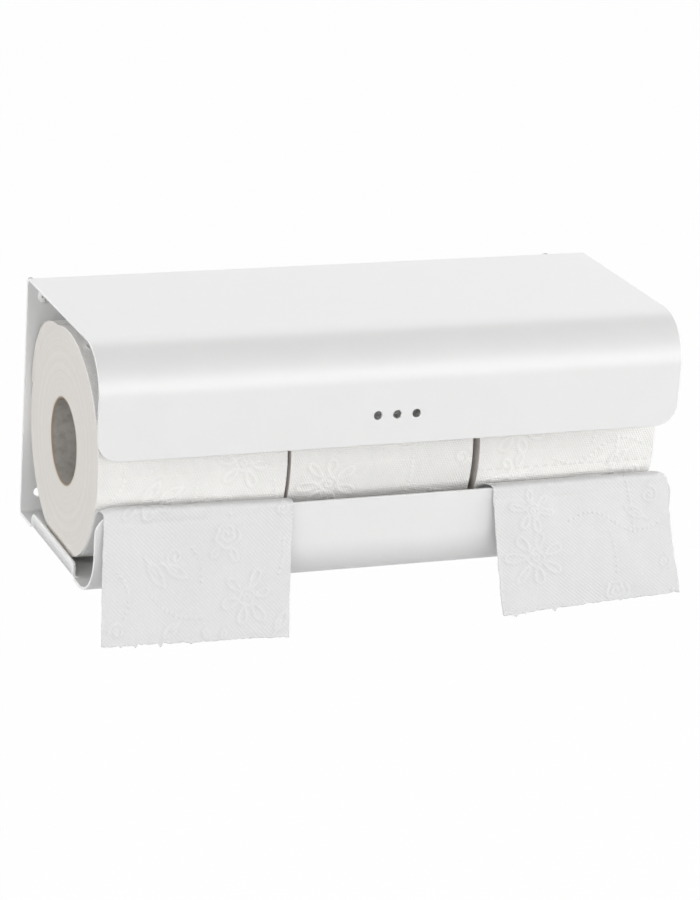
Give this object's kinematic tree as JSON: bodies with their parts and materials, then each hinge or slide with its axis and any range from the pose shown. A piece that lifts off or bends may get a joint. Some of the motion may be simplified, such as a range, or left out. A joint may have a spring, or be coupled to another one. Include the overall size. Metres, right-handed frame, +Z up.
{
  "type": "toilet roll holder",
  "caption": "Wall-mounted holder folded from white sheet steel, with toilet rolls side by side in its tray under a cover.",
  "frame": {"origin": "on the wall plane, midway along the holder, level with the underside of the tray", "axes": "+X to the right along the holder, +Y into the wall (the front faces -Y), +Z up"},
  "size_m": [0.3159, 0.1798, 0.1512],
  "materials": {
    "powder_coat": "satin white powder coat",
    "screw_steel": "white-coated domed screw",
    "cardboard": "raw grey-brown board",
    "tissue": "soft embossed tissue"
  },
  "bodies": {
    "root": {"holder": "powder_coat", "screw_left": "screw_steel", "screw_right": "screw_steel", "loose_turns_left": "tissue", "tissue_tail_left": "tissue", "tissue_tail_right": "tissue"},
    "roll_left": {"core_left": "cardboard", "paper_roll_left": "tissue"},
    "roll_middle": {"core_middle": "cardboard", "paper_roll_middle": "tissue"},
    "roll_right": {"core_right": "cardboard", "paper_roll_right": "tissue"}
  },
  "joints": [
    {"name": "roll_left_spin", "type": "hinge", "parent": "root", "child": "roll_left", "pos_m": [-0.10415, -0.0613, 0.0613], "axis": [1, 0, 0], "continuous": true},
    {"name": "roll_middle_spin", "type": "hinge", "parent": "root", "child": "roll_middle", "pos_m": [-0.0028, -0.0613, 0.0613], "axis": [1, 0, 0], "continuous": true},
    {"name": "roll_right_spin", "type": "hinge", "parent": "root", "child": "roll_right", "pos_m": [0.1005, -0.0613, 0.0613], "axis": [1, 0, 0], "continuous": true}
  ]
}
